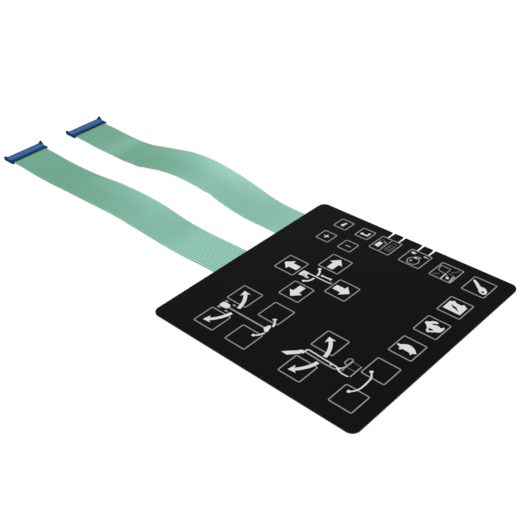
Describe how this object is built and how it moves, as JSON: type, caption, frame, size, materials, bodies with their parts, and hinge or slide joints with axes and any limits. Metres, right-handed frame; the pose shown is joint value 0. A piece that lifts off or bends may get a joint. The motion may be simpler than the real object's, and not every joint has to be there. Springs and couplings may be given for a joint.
{
  "type": "membrane keypad",
  "caption": "Flat membrane keypad with printed square keys over snap domes and two ribbon-like film tails that end in crimp connectors.",
  "frame": {"origin": "middle of the laminate's underside, where its release liner rests on the table", "axes": "+X to the operator's right, +Y away from the operator towards the edge with the slits, +Z out of the printed face"},
  "size_m": [0.4738, 0.1944, 0.0129],
  "materials": {
    "overlay_film": "fine-textured black polyester with a soft sheen",
    "clear_adhesive": "smoky acrylic adhesive",
    "printed_ink": "white screen-printed ink of the key outlines and symbols",
    "spacer_film": "black-tinted polyester",
    "circuit_film": "polyester with a mint green dielectric coat",
    "tail_film": "satin mint green film over printed conductors",
    "dome_steel": "plain spring steel",
    "liner_paper": "coated paper",
    "connector_moulding": "blue moulded polymer, satin",
    "contact_metal": "tin-plated"
  },
  "bodies": {
    "root": {"release_liner": "liner_paper", "rear_adhesive": "clear_adhesive", "lower_circuit": "circuit_film", "circuit_spacer": "spacer_film", "upper_circuit": "circuit_film", "dome_spacer": "spacer_film", "overlay_adhesive": "clear_adhesive", "graphic_overlay": "overlay_film", "upper_tail": "tail_film", "lower_tail": "tail_film", "upper_connector_housing": "connector_moulding", "lower_connector_housing": "connector_moulding", "upper_connector_contacts": "contact_metal", "lower_connector_contacts": "contact_metal", "dome_scroll": "dome_steel", "dome_enter": "dome_steel", "dome_plus": "dome_steel", "dome_minus": "dome_steel", "dome_fuel": "dome_steel", "dome_throttle": "dome_steel", "dome_generator": "dome_steel", "dome_start": "dome_steel", "dome_battery": "dome_steel", "dome_fast": "dome_steel", "dome_slow": "dome_steel", "dome_forward": "dome_steel", "dome_left": "dome_steel", "dome_right": "dome_steel", "dome_back": "dome_steel", "dome_platform_raise": "dome_steel", "dome_platform_lower": "dome_steel", "dome_rotate_raise": "dome_steel", "dome_rotate_lower": "dome_steel", "dome_boom_raise": "dome_steel", "dome_boom_lower": "dome_steel", "dome_extend_out": "dome_steel", "dome_extend_in": "dome_steel"}
  },
  "joints": []
}
